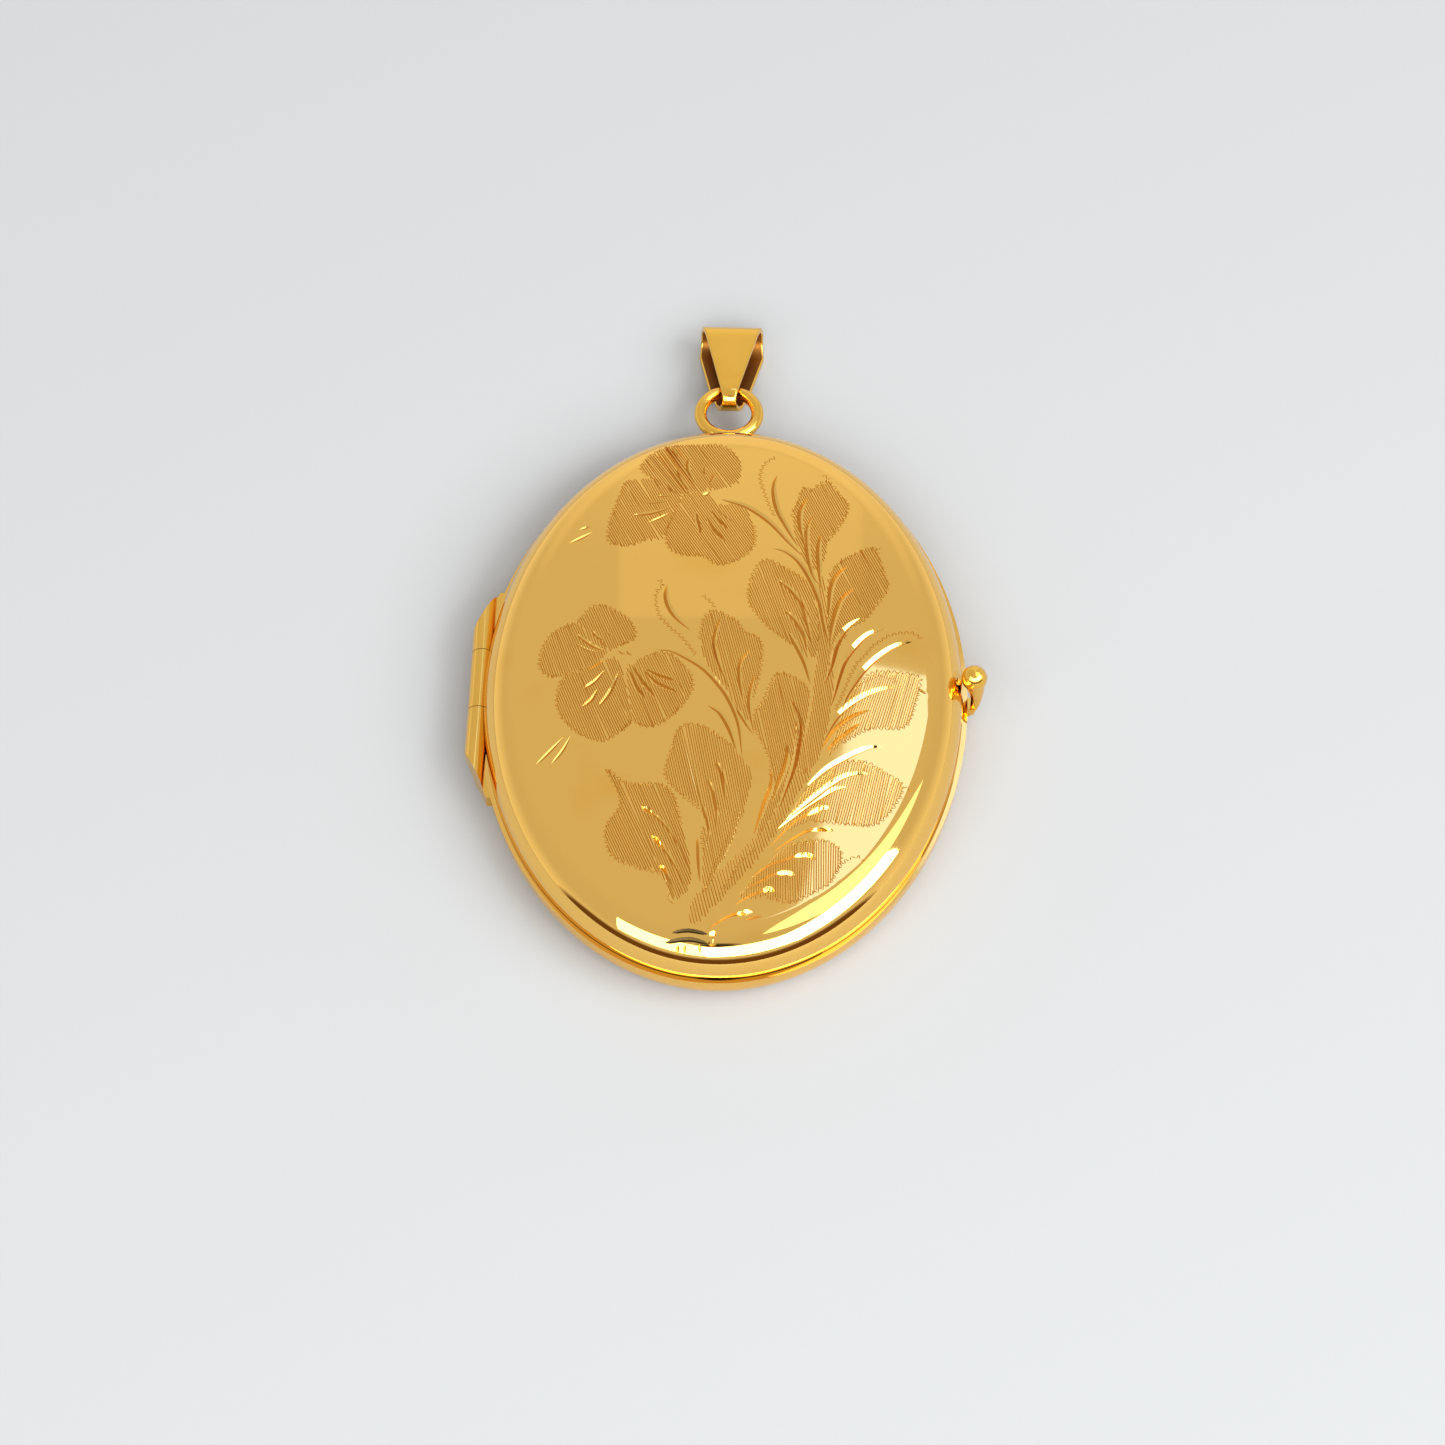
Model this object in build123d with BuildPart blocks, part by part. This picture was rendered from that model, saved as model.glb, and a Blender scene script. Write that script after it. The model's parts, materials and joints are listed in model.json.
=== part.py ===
from build123d import *
from math import asin, cos, sin
import os

# Oval hinged locket, lying on its back. Millimetres.
# X runs from the hinge to the catch, Y up towards the loop and the bail, Z up through the
# thickness to the engraved front. The origin is the middle of the flat back.

# ---- driving dimensions -------------------------------------------------------------
HALF_WIDTH = 18.0        # back half, along X
HALF_HEIGHT = 24.7       # back half, along Y
STEP = 0.35              # the front cover is this much smaller all round
SEAM_Z = 2.75            # plane where the two halves meet
SEAM_GAP = 0.06          # open gap between the two edges
THICKNESS = 6.0          # flat back to the top of the front's crown
WALL = 0.45              # sheet thickness of both shells
BACK_ROLL = 2.3          # outside radius of the back's rounded edge
FRONT_ROLL = 2.8         # outside radius of the front's rounded edge
CROWN_RADIUS = 580.0     # gentle doming of the front

HINGE_RADIUS = 0.78      # hinge tube, outside
PIN_RADIUS = 0.36        # hinge pin
HINGE_END = 9.6          # half-length of the hinge before its ends are filed away
KNUCKLE_LOW, KNUCKLE_HIGH = -1.7, 3.5   # the middle knuckle's span along Y
RUNNING_GAP = 0.04       # radial clearance of a turning fit
KNUCKLE_GAP = 0.05       # end gap between neighbouring knuckles
GROOVE_GAP = 0.06        # clearance of a shell's groove round a knuckle of the other half

LOOP_X = -0.4            # the loop is soldered a little to the left of the middle
LOOP_WIRE = 0.48         # radius of the loop's wire
LOOP_MEAN = 2.2          # radius of the loop's centre line
LOOP_Z = 2.35

BAIL_SHEET = 0.4         # thickness of the bail's strip
BAIL_FOLD_AT = 5.2       # wire to the centre of the top fold
BAIL_FOLD_RADIUS = 1.55  # outside radius of the top fold
BAIL_TIP_AT = -0.6       # wire to the centre of the bottom bend
BAIL_TIP_RADIUS = 1.08   # outside radius of the bottom bend
BAIL_HALF_WIDTH = 2.5    # at the fold; the strip tapers to the bottom bend
BAIL_END_HALF = 2.42     # where the fold curls over
BAIL_FRONT_TIP = 0.45    # half-width of the front plate's tip
BAIL_BACK_TIP = 0.75     # half-width of the back plate's tip
BAIL_SHOULDER_AT = 0.9   # the back plate's shoulder, from the wire
BAIL_SHOULDER_HALF = 1.6

CATCH_Y = 0.95           # the catch sits a little above the middle of the right side
LEVER_HALF = 0.55        # half-thickness of the lever along Y
LEVER_WINDOW_LOW, LEVER_WINDOW_HIGH = 0.75, 1.95   # window in the back for the lever
LEVER_WINDOW_GAP = 0.1   # free space each side of the lever
ARM_LOW, ARM_HIGH = 0.95, 1.6    # the arm that reaches out through that window
BEAD_RADIUS = 0.95
BEAD_Z = 4.85
PIVOT_X, PIVOT_Z = 16.4, 1.25
PIVOT_RADIUS = 0.22
BOSS_RADIUS = 0.5        # the lever's eye
BRACKET_WALL = 0.4
BITE_RADIUS = 1.25       # half-round bite in the front's edge, which the bead stands in
CUP_WALL = 0.2           # lining of that bite
BAY_HALF = 1.45          # the rims and frames stop this far each side of the catch
BAY_REACH = 1.0          # and this far inwards of the pivot

# ---- places worked out from them ----------------------------------------------------
HINGE_X = -HALF_WIDTH
BACK_EDGE_Z = SEAM_Z - SEAM_GAP / 2
FRONT_EDGE_Z = SEAM_Z + SEAM_GAP / 2
FRONT_WIDTH = HALF_WIDTH - STEP
FRONT_HEIGHT = HALF_HEIGHT - STEP
LOOP_Y = HALF_HEIGHT + LOOP_MEAN + LOOP_WIRE - 0.1
BAIL_AXIS_Y = LOOP_Y + LOOP_MEAN

# inner rims, given as insets from the back half's outline
RIM_SEAT = WALL                    # rim's foot, against the back's wall
RIM_FACE = STEP + WALL + 0.07      # rim's upstanding lip, inside the front's wall
RIM_INSIDE = RIM_FACE + 0.4
RIM_TOP = SEAM_Z + 0.65
RIM_FOOT_Z = 1.3
HINGE_RELIEF = 1.6                 # the back rim is cut this deep behind the hinge
FRONT_RIM_FACE = RIM_FACE + 0.25
FRONT_RIM_INSIDE = FRONT_RIM_FACE + 0.4
FRAME_WIDTH = 2.2
FRAME_DEPTH = 0.6
FRAME_BEVEL = 0.4
BACK_FRAME_Z = 2.0
FRONT_FRAME_Z = RIM_TOP + 0.15
WINDOW_DEPTH = 0.3
WINDOW_LAP = 0.5                   # how far a window reaches under its frame


def save(piece, label):
    """Label a finished piece and write it to its own file."""
    piece.part.label = label
    export_step(piece.part, f"parts/{label}.step")


def back_form(inset, floor):
    """Oval block with a rounded lower edge, inset from the back half's outside."""
    with BuildPart() as form:
        with BuildSketch(Plane.XY.offset(floor)):
            Ellipse(HALF_WIDTH - inset, HALF_HEIGHT - inset)
        extrude(amount=BACK_EDGE_Z - floor)
        fillet(form.edges().group_by(Axis.Z)[0], BACK_ROLL - inset)
    return form.part


def front_form(inset):
    """Oval block with a crowned top and a rounded upper edge, inset from the front."""
    with BuildPart() as form:
        with BuildSketch(Plane.XY.offset(FRONT_EDGE_Z)):
            Ellipse(FRONT_WIDTH - inset, FRONT_HEIGHT - inset)
        extrude(amount=THICKNESS)
        with Locations((0, 0, THICKNESS - CROWN_RADIUS)):
            Sphere(CROWN_RADIUS - inset, rotation=(90, 0, 0), mode=Mode.INTERSECT)
        fillet(form.faces().sort_by(Axis.Z)[-1].edges(), FRONT_ROLL - inset)
    return form.part


def oval_band(outside, inside, low, high):
    """Oval ring between two insets from the back half's outline."""
    with BuildPart() as band:
        with BuildSketch(Plane.XY.offset(low)):
            Ellipse(HALF_WIDTH - outside, HALF_HEIGHT - outside)
            Ellipse(HALF_WIDTH - inside, HALF_HEIGHT - inside, mode=Mode.SUBTRACT)
        extrude(amount=high - low)
    return band.part


def box_between(low, high):
    """Plain block given by its lowest and highest corners."""
    with BuildPart() as block:
        with Locations(low):
            Box(*(h - l for l, h in zip(low, high)), align=Align.MIN)
    return block.part


def hinge_rod(radius, start, end):
    """Rod on the hinge axis between two places along Y."""
    with BuildPart() as rod:
        with BuildSketch(Plane.XZ.offset(-end)):
            with Locations((HINGE_X, SEAM_Z)):
                Circle(radius)
        extrude(amount=end - start)
    return rod.part


def hinge_scarf(side):
    """Wedge that files one end of the hinge down to the case; side is +1 or -1."""
    with BuildPart() as wedge:
        with BuildSketch():
            Polygon(
                (HINGE_X - HINGE_RADIUS - 0.02, side * 5.5),
                (HINGE_X + HINGE_RADIUS + 0.4, side * HINGE_END),
                (HINGE_X - 2, side * (HINGE_END + 1)),
                align=None,
            )
        extrude(amount=THICKNESS)
    return wedge.part


def catch_slot(radius):
    """Half-round bite open towards +X, through the height of the front cover's edge."""
    with BuildPart() as bite:
        with BuildSketch():
            with Locations((HALF_WIDTH + 0.1, CATCH_Y)):
                Circle(radius)
                Rectangle(2, 2 * radius, align=(Align.MIN, Align.CENTER))
        extrude(amount=THICKNESS)
    return bite.part


os.makedirs("parts", exist_ok=True)

back_outside = back_form(0, 0)
back_inside = back_form(WALL, WALL)
front_outside = front_form(0)
front_inside = front_form(WALL)
scarfs = [hinge_scarf(1), hinge_scarf(-1)]
catch_bay = box_between((PIVOT_X - BAY_REACH, CATCH_Y - BAY_HALF, 0),
                        (HALF_WIDTH - 0.3, CATCH_Y + BAY_HALF, THICKNESS))

# ---- back half: shell, rim, photo frame and window ----------------------------------
with BuildPart() as back_cover:
    add(back_outside)
    add(back_inside, mode=Mode.SUBTRACT)
    add(hinge_rod(HINGE_RADIUS, -HINGE_END, HINGE_END), mode=Mode.SUBTRACT)
    add(
        hinge_rod(HINGE_RADIUS + GROOVE_GAP, KNUCKLE_LOW - KNUCKLE_GAP,
                  KNUCKLE_HIGH + KNUCKLE_GAP),
        mode=Mode.SUBTRACT,
    )
    add(
        box_between((PIVOT_X, CATCH_Y - LEVER_HALF - LEVER_WINDOW_GAP, LEVER_WINDOW_LOW),
                    (HALF_WIDTH + 1, CATCH_Y + LEVER_HALF + LEVER_WINDOW_GAP,
                     LEVER_WINDOW_HIGH)),
        mode=Mode.SUBTRACT,
    )
save(back_cover, "back_cover")

with BuildPart() as back_rim:
    add(oval_band(RIM_SEAT, RIM_INSIDE, RIM_FOOT_Z, BACK_EDGE_Z))
    add(back_inside, mode=Mode.INTERSECT)
    add(oval_band(RIM_FACE, RIM_INSIDE, BACK_EDGE_Z, RIM_TOP))
    add(
        box_between((-HALF_WIDTH, -HINGE_END - 0.3, SEAM_Z - HINGE_RADIUS - 0.17),
                    (-HALF_WIDTH + HINGE_RELIEF, HINGE_END + 0.3, RIM_TOP + 1)),
        mode=Mode.SUBTRACT,
    )
    add(catch_bay, mode=Mode.SUBTRACT)
save(back_rim, "back_rim")

with BuildPart() as back_photo_frame:
    add(oval_band(RIM_INSIDE, RIM_INSIDE + FRAME_WIDTH, BACK_FRAME_Z,
                  BACK_FRAME_Z + FRAME_DEPTH))
    chamfer(back_photo_frame.edges().group_by(Axis.Z)[-1].sort_by(SortBy.LENGTH)[0],
            FRAME_BEVEL)
    add(catch_bay, mode=Mode.SUBTRACT)
save(back_photo_frame, "back_photo_frame")

with BuildPart() as back_window:
    with BuildSketch(Plane.XY.offset(BACK_FRAME_Z - WINDOW_DEPTH)):
        reach = RIM_INSIDE + FRAME_WIDTH - WINDOW_LAP
        Ellipse(HALF_WIDTH - reach, HALF_HEIGHT - reach)
    extrude(amount=WINDOW_DEPTH)
save(back_window, "back_window")

# ---- front half ---------------------------------------------------------------------
with BuildPart() as front_cover:
    add(front_outside)
    add(front_inside, mode=Mode.SUBTRACT)
    for start, end in ((-HINGE_END, KNUCKLE_LOW + KNUCKLE_GAP),
                       (KNUCKLE_HIGH - KNUCKLE_GAP, HINGE_END)):
        add(hinge_rod(HINGE_RADIUS + GROOVE_GAP, start, end), mode=Mode.SUBTRACT)
    add(hinge_rod(HINGE_RADIUS, KNUCKLE_LOW, KNUCKLE_HIGH), mode=Mode.SUBTRACT)
    add(catch_slot(BITE_RADIUS), mode=Mode.SUBTRACT)
save(front_cover, "front_cover")

with BuildPart() as front_rim:
    add(oval_band(FRONT_RIM_FACE, FRONT_RIM_INSIDE, FRONT_FRAME_Z - 0.05, THICKNESS))
    add(front_inside, mode=Mode.INTERSECT)
    add(catch_bay, mode=Mode.SUBTRACT)
save(front_rim, "front_rim")

with BuildPart() as front_photo_frame:
    add(oval_band(FRONT_RIM_INSIDE, FRONT_RIM_INSIDE + FRAME_WIDTH, FRONT_FRAME_Z,
                  FRONT_FRAME_Z + FRAME_DEPTH))
    chamfer(front_photo_frame.edges().group_by(Axis.Z)[0].sort_by(SortBy.LENGTH)[0],
            FRAME_BEVEL)
    add(catch_bay, mode=Mode.SUBTRACT)
save(front_photo_frame, "front_photo_frame")

with BuildPart() as front_window:
    with BuildSketch(Plane.XY.offset(FRONT_FRAME_Z + FRAME_DEPTH)):
        reach = FRONT_RIM_INSIDE + FRAME_WIDTH - WINDOW_LAP
        Ellipse(HALF_WIDTH - reach, HALF_HEIGHT - reach)
    extrude(amount=WINDOW_DEPTH)
save(front_window, "front_window")

# ---- hinge: three knuckles, their bearers and the pin --------------------------------
knuckles = {
    "hinge_knuckle_bottom": (-HINGE_END, KNUCKLE_LOW - KNUCKLE_GAP / 2, PIN_RADIUS),
    "hinge_knuckle_middle": (KNUCKLE_LOW + KNUCKLE_GAP / 2, KNUCKLE_HIGH - KNUCKLE_GAP / 2,
                             PIN_RADIUS + RUNNING_GAP),
    "hinge_knuckle_top": (KNUCKLE_HIGH + KNUCKLE_GAP / 2, HINGE_END, PIN_RADIUS),
}
for label, (start, end, bore) in knuckles.items():
    with BuildPart() as knuckle:
        add(hinge_rod(HINGE_RADIUS, start, end))
        add(hinge_rod(bore, start, end), mode=Mode.SUBTRACT)
        add(scarfs, mode=Mode.SUBTRACT)
    save(knuckle, label)

with BuildPart() as hinge_pin:
    add(hinge_rod(PIN_RADIUS, -HINGE_END, HINGE_END))
    add(scarfs, mode=Mode.SUBTRACT)
save(hinge_pin, "hinge_pin")

# strips that fill the wedge between the straight tube and the curved back wall
for label, side in (("hinge_bearer_top", 1), ("hinge_bearer_bottom", -1)):
    low, high = sorted((side * 6.0, side * (HINGE_END - 0.3)))
    with BuildPart() as bearer:
        add(box_between((HINGE_X, low, 1.6), (HINGE_X + 2.2, high, BACK_EDGE_Z)))
        add(back_outside, mode=Mode.SUBTRACT)
        add(hinge_rod(HINGE_RADIUS, -HINGE_END, HINGE_END), mode=Mode.SUBTRACT)
        add(scarfs, mode=Mode.SUBTRACT)
    save(bearer, label)

# ---- loop soldered to the top of the back, and the bail that hangs in it --------------
with BuildPart() as top_loop:
    with Locations((LOOP_X, LOOP_Y, LOOP_Z)):
        Torus(LOOP_MEAN, LOOP_WIRE)
    add(back_outside, mode=Mode.SUBTRACT)
save(top_loop, "top_loop")

# The bail is drawn along its own slope: it leans from the wire down to the fold, whose
# outside just clears z = 0. "side" looks across the strip, "face" looks down on it.
slope = asin((LOOP_Z - BAIL_FOLD_RADIUS - 0.02) / BAIL_FOLD_AT)
along = (0, cos(slope), -sin(slope))
side = Plane(origin=(LOOP_X - BAIL_HALF_WIDTH, BAIL_AXIS_Y, LOOP_Z), x_dir=along, z_dir=(1, 0, 0))
face = Plane(origin=(LOOP_X, BAIL_AXIS_Y, LOOP_Z), x_dir=along, z_dir=(0, sin(slope), cos(slope)))
bail_start = BAIL_TIP_AT - BAIL_TIP_RADIUS
bail_end = BAIL_FOLD_AT + BAIL_FOLD_RADIUS

with BuildPart() as bail:
    with BuildSketch(face):
        Polygon((bail_start, -BAIL_FRONT_TIP), (bail_end, -BAIL_END_HALF),
                (bail_end, BAIL_END_HALF), (bail_start, BAIL_FRONT_TIP), align=None)
    extrude(amount=BAIL_FOLD_RADIUS)
    with BuildSketch(face):
        Polygon((bail_start, -BAIL_BACK_TIP), (BAIL_SHOULDER_AT, -BAIL_SHOULDER_HALF),
                (BAIL_FOLD_AT, -BAIL_HALF_WIDTH), (bail_end, -BAIL_END_HALF),
                (bail_end, BAIL_END_HALF), (BAIL_FOLD_AT, BAIL_HALF_WIDTH),
                (BAIL_SHOULDER_AT, BAIL_SHOULDER_HALF), (bail_start, BAIL_BACK_TIP),
                align=None)
    extrude(amount=-BAIL_FOLD_RADIUS)
    for sheet, mode in ((0, Mode.INTERSECT), (BAIL_SHEET, Mode.SUBTRACT)):
        with BuildSketch(side):
            with Locations((BAIL_TIP_AT, 0)):
                Circle(BAIL_TIP_RADIUS - sheet)
            with Locations((BAIL_FOLD_AT, 0)):
                Circle(BAIL_FOLD_RADIUS - sheet)
            make_hull()
        extrude(amount=2 * BAIL_HALF_WIDTH, mode=mode)
save(bail, "bail")

# ---- catch: a rocking lever on a pin, held in a bracket inside the back ----------------
across = Plane.XZ.offset(-CATCH_Y)          # plane across the catch, through its middle
BRACKET_HALF = LEVER_HALF + BRACKET_WALL

with BuildPart() as catch_lever:
    with BuildSketch(across):
        with Locations((PIVOT_X, PIVOT_Z)):
            Circle(BOSS_RADIUS)
        Polygon((PIVOT_X, ARM_LOW), (HALF_WIDTH + 0.5, ARM_LOW), (HALF_WIDTH + 0.62, ARM_HIGH),
                (PIVOT_X, ARM_HIGH), align=None)
        # the hook: a blade that stands up from the eye, with a nose towards the keeper
        Polygon((PIVOT_X - 0.3, PIVOT_Z), (PIVOT_X + 0.1, PIVOT_Z), (PIVOT_X + 0.1, 3.5),
                (PIVOT_X + 0.32, 3.62), (PIVOT_X + 0.1, 4.0), (PIVOT_X - 0.3, 4.0),
                align=None)
    extrude(amount=LEVER_HALF, both=True)
    # outside, the lever swells into a teardrop horn that carries the bead
    for z, x, y, radius in ((0.45, 18.12, -0.25, 0.10), (1.3, 18.50, -0.12, 0.30),
                            (2.4, 18.66, 0, 0.43), (3.5, 18.58, 0, 0.62),
                            (4.5, 18.44, 0, 0.74)):
        with BuildSketch(Plane((x, CATCH_Y + y, z))):
            Circle(radius)
    loft()
    with BuildSketch(across):
        with Locations((PIVOT_X, PIVOT_Z)):
            Circle(PIVOT_RADIUS + RUNNING_GAP)
    extrude(amount=LEVER_HALF, both=True, mode=Mode.SUBTRACT)
    bead_place = (HALF_WIDTH + 0.41, CATCH_Y, BEAD_Z)
    with Locations(bead_place):
        Sphere(BEAD_RADIUS, mode=Mode.SUBTRACT)
save(catch_lever, "catch_lever")

with BuildPart() as catch_bead:
    with Locations(bead_place):
        Sphere(BEAD_RADIUS)
save(catch_bead, "catch_bead")

with BuildPart() as catch_pivot_pin:
    with BuildSketch(across):
        with Locations((PIVOT_X, PIVOT_Z)):
            Circle(PIVOT_RADIUS)
    extrude(amount=BRACKET_HALF, both=True)
save(catch_pivot_pin, "catch_pivot_pin")

with BuildPart() as catch_bracket:
    add(box_between((PIVOT_X - 0.3, CATCH_Y - BRACKET_HALF, 0.4),
                    (PIVOT_X + 0.45, CATCH_Y + BRACKET_HALF, 1.65)))
    add(box_between((PIVOT_X - 1, CATCH_Y - LEVER_HALF - 0.05, 0.68),
                    (PIVOT_X + 1, CATCH_Y + LEVER_HALF + 0.05, 2)), mode=Mode.SUBTRACT)
    add(back_inside, mode=Mode.INTERSECT)
    add(catch_pivot_pin.part, mode=Mode.SUBTRACT)
save(catch_bracket, "catch_bracket")

with BuildPart() as catch_spring:
    with BuildSketch(across):
        with BuildLine():
            FilletPolyline((PIVOT_X - 3.2, WALL), (PIVOT_X - 0.65, WALL), (PIVOT_X - 0.65, 1.7),
                           (PIVOT_X - 0.45, 2.35), radius=0.4)
            offset(amount=0.15, side=Side.LEFT)
        make_face()
    extrude(amount=0.5, both=True)
save(catch_spring, "catch_spring")

# half-round cup that lines the bite in the front cover's edge, with the hook's window
with BuildPart() as catch_keeper:
    add(catch_slot(BITE_RADIUS))
    add(catch_slot(BITE_RADIUS - CUP_WALL), mode=Mode.SUBTRACT)
    add(front_outside, mode=Mode.INTERSECT)
    add(box_between((PIVOT_X, CATCH_Y - 0.6, 3.4), (HALF_WIDTH - 0.6, CATCH_Y + 0.6, 4.05)),
        mode=Mode.SUBTRACT)
save(catch_keeper, "catch_keeper")
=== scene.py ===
import json
import math

import bpy
import numpy as np
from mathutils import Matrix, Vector
from mathutils.geometry import delaunay_2d_cdt


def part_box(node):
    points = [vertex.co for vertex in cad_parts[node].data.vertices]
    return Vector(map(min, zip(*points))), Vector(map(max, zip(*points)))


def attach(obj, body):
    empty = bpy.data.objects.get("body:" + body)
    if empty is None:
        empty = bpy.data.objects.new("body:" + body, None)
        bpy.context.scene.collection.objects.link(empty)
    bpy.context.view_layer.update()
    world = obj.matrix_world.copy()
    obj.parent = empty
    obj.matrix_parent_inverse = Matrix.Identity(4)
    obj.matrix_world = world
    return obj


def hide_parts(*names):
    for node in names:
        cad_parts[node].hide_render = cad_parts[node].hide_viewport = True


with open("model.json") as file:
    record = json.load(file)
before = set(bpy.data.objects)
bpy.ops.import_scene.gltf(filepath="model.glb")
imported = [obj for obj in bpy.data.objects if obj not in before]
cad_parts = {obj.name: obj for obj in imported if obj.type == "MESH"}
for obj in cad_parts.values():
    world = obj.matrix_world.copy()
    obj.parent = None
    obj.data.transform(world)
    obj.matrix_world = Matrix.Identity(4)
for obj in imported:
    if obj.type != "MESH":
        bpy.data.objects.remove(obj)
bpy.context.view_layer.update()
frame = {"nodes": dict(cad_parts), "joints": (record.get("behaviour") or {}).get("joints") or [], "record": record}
nodes = frame["nodes"]
joints = {joint["name"]: joint for joint in frame["joints"]}
MM = 0.001

# ---- the front cover's own shape, in millimetres ---------------------------------------
cover_low, cover_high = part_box("front_cover")
EDGE_Z = cover_low.z / MM                     # the cover's foot, at the seam
TOP_Z = cover_high.z / MM                     # highest point of the crown
HALF_X, HALF_Y = 17.65, cover_high.y / MM     # the oval's half axes
ROLL = 2.8                                    # outside radius of the rounded edge
CROWN = 580.0                                 # radius of the gentle doming
WALL = 0.45                                   # thickness of the sheet
HINGE_X, _, HINGE_Z = (value / MM for value in joints["cover_hinge"]["pos_m"])
HINGE_RADIUS, GROOVE_RADIUS = 0.78, 0.84      # the knuckles, and the room they turn in
KNUCKLE_GAP = 0.05                            # past each end of the middle knuckle's seat
CATCH_Y = joints["catch_press"]["pos_m"][1] / MM
BITE_X, BITE_RADIUS = 18.1, 1.25              # the notch that the catch stands in


# ---- materials --------------------------------------------------------------------------
def shader(name, colour, metallic=1.0, roughness=0.1):
    """A node material; returns it with its node tree and its Principled shader."""
    material = bpy.data.materials.new(name)
    material.use_nodes = True
    tree = material.node_tree
    principled = tree.nodes["Principled BSDF"]
    principled.inputs["Base Color"].default_value = (*colour, 1)
    principled.inputs["Metallic"].default_value = metallic
    principled.inputs["Roughness"].default_value = roughness
    return material, tree, principled


def node(tree, kind, **values):
    """A new node; values that name an input socket are set on it, the others on the node."""
    made = tree.nodes.new(kind)
    for key, value in values.items():
        if key in made.inputs:
            made.inputs[key].default_value = value
        else:
            setattr(made, key, value)
    return made


def noise(tree, scale, detail, stretch=(1, 1, 1)):
    """Noise fixed to the object, as a socket that runs from 0 to 1."""
    place = node(tree, "ShaderNodeTexCoord")
    mapping = node(tree, "ShaderNodeMapping")
    mapping.inputs["Scale"].default_value = stretch
    pattern = node(tree, "ShaderNodeTexNoise", Scale=scale, Detail=detail)
    tree.links.new(place.outputs["Object"], mapping.inputs["Vector"])
    tree.links.new(mapping.outputs["Vector"], pattern.inputs["Vector"])
    return pattern.outputs["Fac"]


def mapped(tree, value, low, high, new_low, new_high):
    """The value with low..high turned into new_low..new_high, as a socket."""
    change = node(tree, "ShaderNodeMapRange")
    for socket, number in zip(("From Min", "From Max", "To Min", "To Max"),
                              (low, high, new_low, new_high)):
        change.inputs[socket].default_value = number
    tree.links.new(value, change.inputs["Value"])
    return change.outputs["Result"]


SCRATCH_DEPTH = 0.00001                       # metres, at a scratch strength of 1


def gold(name, pale, deep, roughness, haze, scratch):
    """Yellow gold: smudged tone between pale and deep, uneven polish and fine scratches."""
    material, tree, principled = shader(name, pale)
    tone = node(tree, "ShaderNodeMix", data_type="RGBA")
    tone.inputs["A"].default_value = (*pale, 1)
    tone.inputs["B"].default_value = (*deep, 1)
    smudge = mapped(tree, noise(tree, 160, 3), 0.6, 0.8, 0, 0.8)
    tree.links.new(smudge, tone.inputs["Factor"])
    tree.links.new(tone.outputs["Result"], principled.inputs["Base Color"])
    polish = mapped(tree, noise(tree, 90, 5), 0.35, 0.7, roughness, roughness + haze)
    tree.links.new(polish, principled.inputs["Roughness"])
    bump = node(tree, "ShaderNodeBump", Strength=scratch, Distance=SCRATCH_DEPTH)
    lines = noise(tree, 1500, 2, (1, 0.02, 1))
    tree.links.new(lines, bump.inputs["Height"])
    tree.links.new(bump.outputs["Normal"], principled.inputs["Normal"])
    return material


case_gold = gold("case_gold", (0.92, 0.555, 0.135), (0.89, 0.49, 0.09), 0.015, 0.03, 0.02)
# rougher gold for the cut walls; its deeper tone is painted soft shade from inside the grooves
engraved_soft_shade_gold = gold("engraved_soft_shade_gold", (0.82, 0.50, 0.11), (0.75, 0.42, 0.08), 0.34, 0.1, 0.05)
# painted shade for the cut walls that face away from the light
shaded_gold = gold("shaded_gold", (0.52, 0.20, 0.02), (0.40, 0.13, 0.01), 0.30, 0.1, 0.05)
# painted reflection: near black, for cut walls that would mirror the dark camera
dark_reflection_gold = gold("dark_reflection_gold", (0.06, 0.035, 0.012), (0.03, 0.018, 0.006), 0.3, 0.1, 0.05)
inner_gold = gold("inner_gold", (0.90, 0.60, 0.20), (0.85, 0.52, 0.14), 0.16, 0.1, 0.05)
hinge_gold = gold("hinge_gold", (0.87, 0.51, 0.10), (0.79, 0.41, 0.06), 0.14, 0.1, 0.10)
fitting_gold = gold("fitting_gold", (0.88, 0.51, 0.085), (0.80, 0.42, 0.05), 0.10, 0.08, 0.04)
# unpolished gold for the bail's inside, its very dark tone painted shade from the closed fold
dull_shaded_gold = gold("dull_shaded_gold", (0.24, 0.09, 0.015), (0.16, 0.055, 0.008), 0.42, 0.1, 0.05)
spring_gold = gold("spring_gold", (0.86, 0.62, 0.30), (0.78, 0.50, 0.20), 0.25, 0.1, 0.08)


def clear_sheet(name):
    """Clear plastic with a few finger marks in its gloss."""
    material, tree, principled = shader(name, (0.97, 0.97, 0.95), metallic=0.0)
    principled.inputs["Transmission Weight"].default_value = 1.0
    principled.inputs["IOR"].default_value = 1.46
    marks = mapped(tree, noise(tree, 220, 4), 0.5, 0.75, 0.03, 0.16)
    tree.links.new(marks, principled.inputs["Roughness"])
    return material


slot_finishes = {
    "case_gold": case_gold,
    "inner_gold": inner_gold,
    "hinge_gold": hinge_gold,
    "fitting_gold": fitting_gold,
    "spring_metal": spring_gold,
    "clear_window": clear_sheet("clear_window"),
}
for part in frame["record"]["subparts"]:
    node_object = nodes[part["node"]]
    node_object.data.materials.clear()
    node_object.data.materials.append(slot_finishes[part["material_slot"]])


# ---- the cover's surface ----------------------------------------------------------------
NEWTON_STEPS = 8                              # enough to find the nearest edge point


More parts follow.
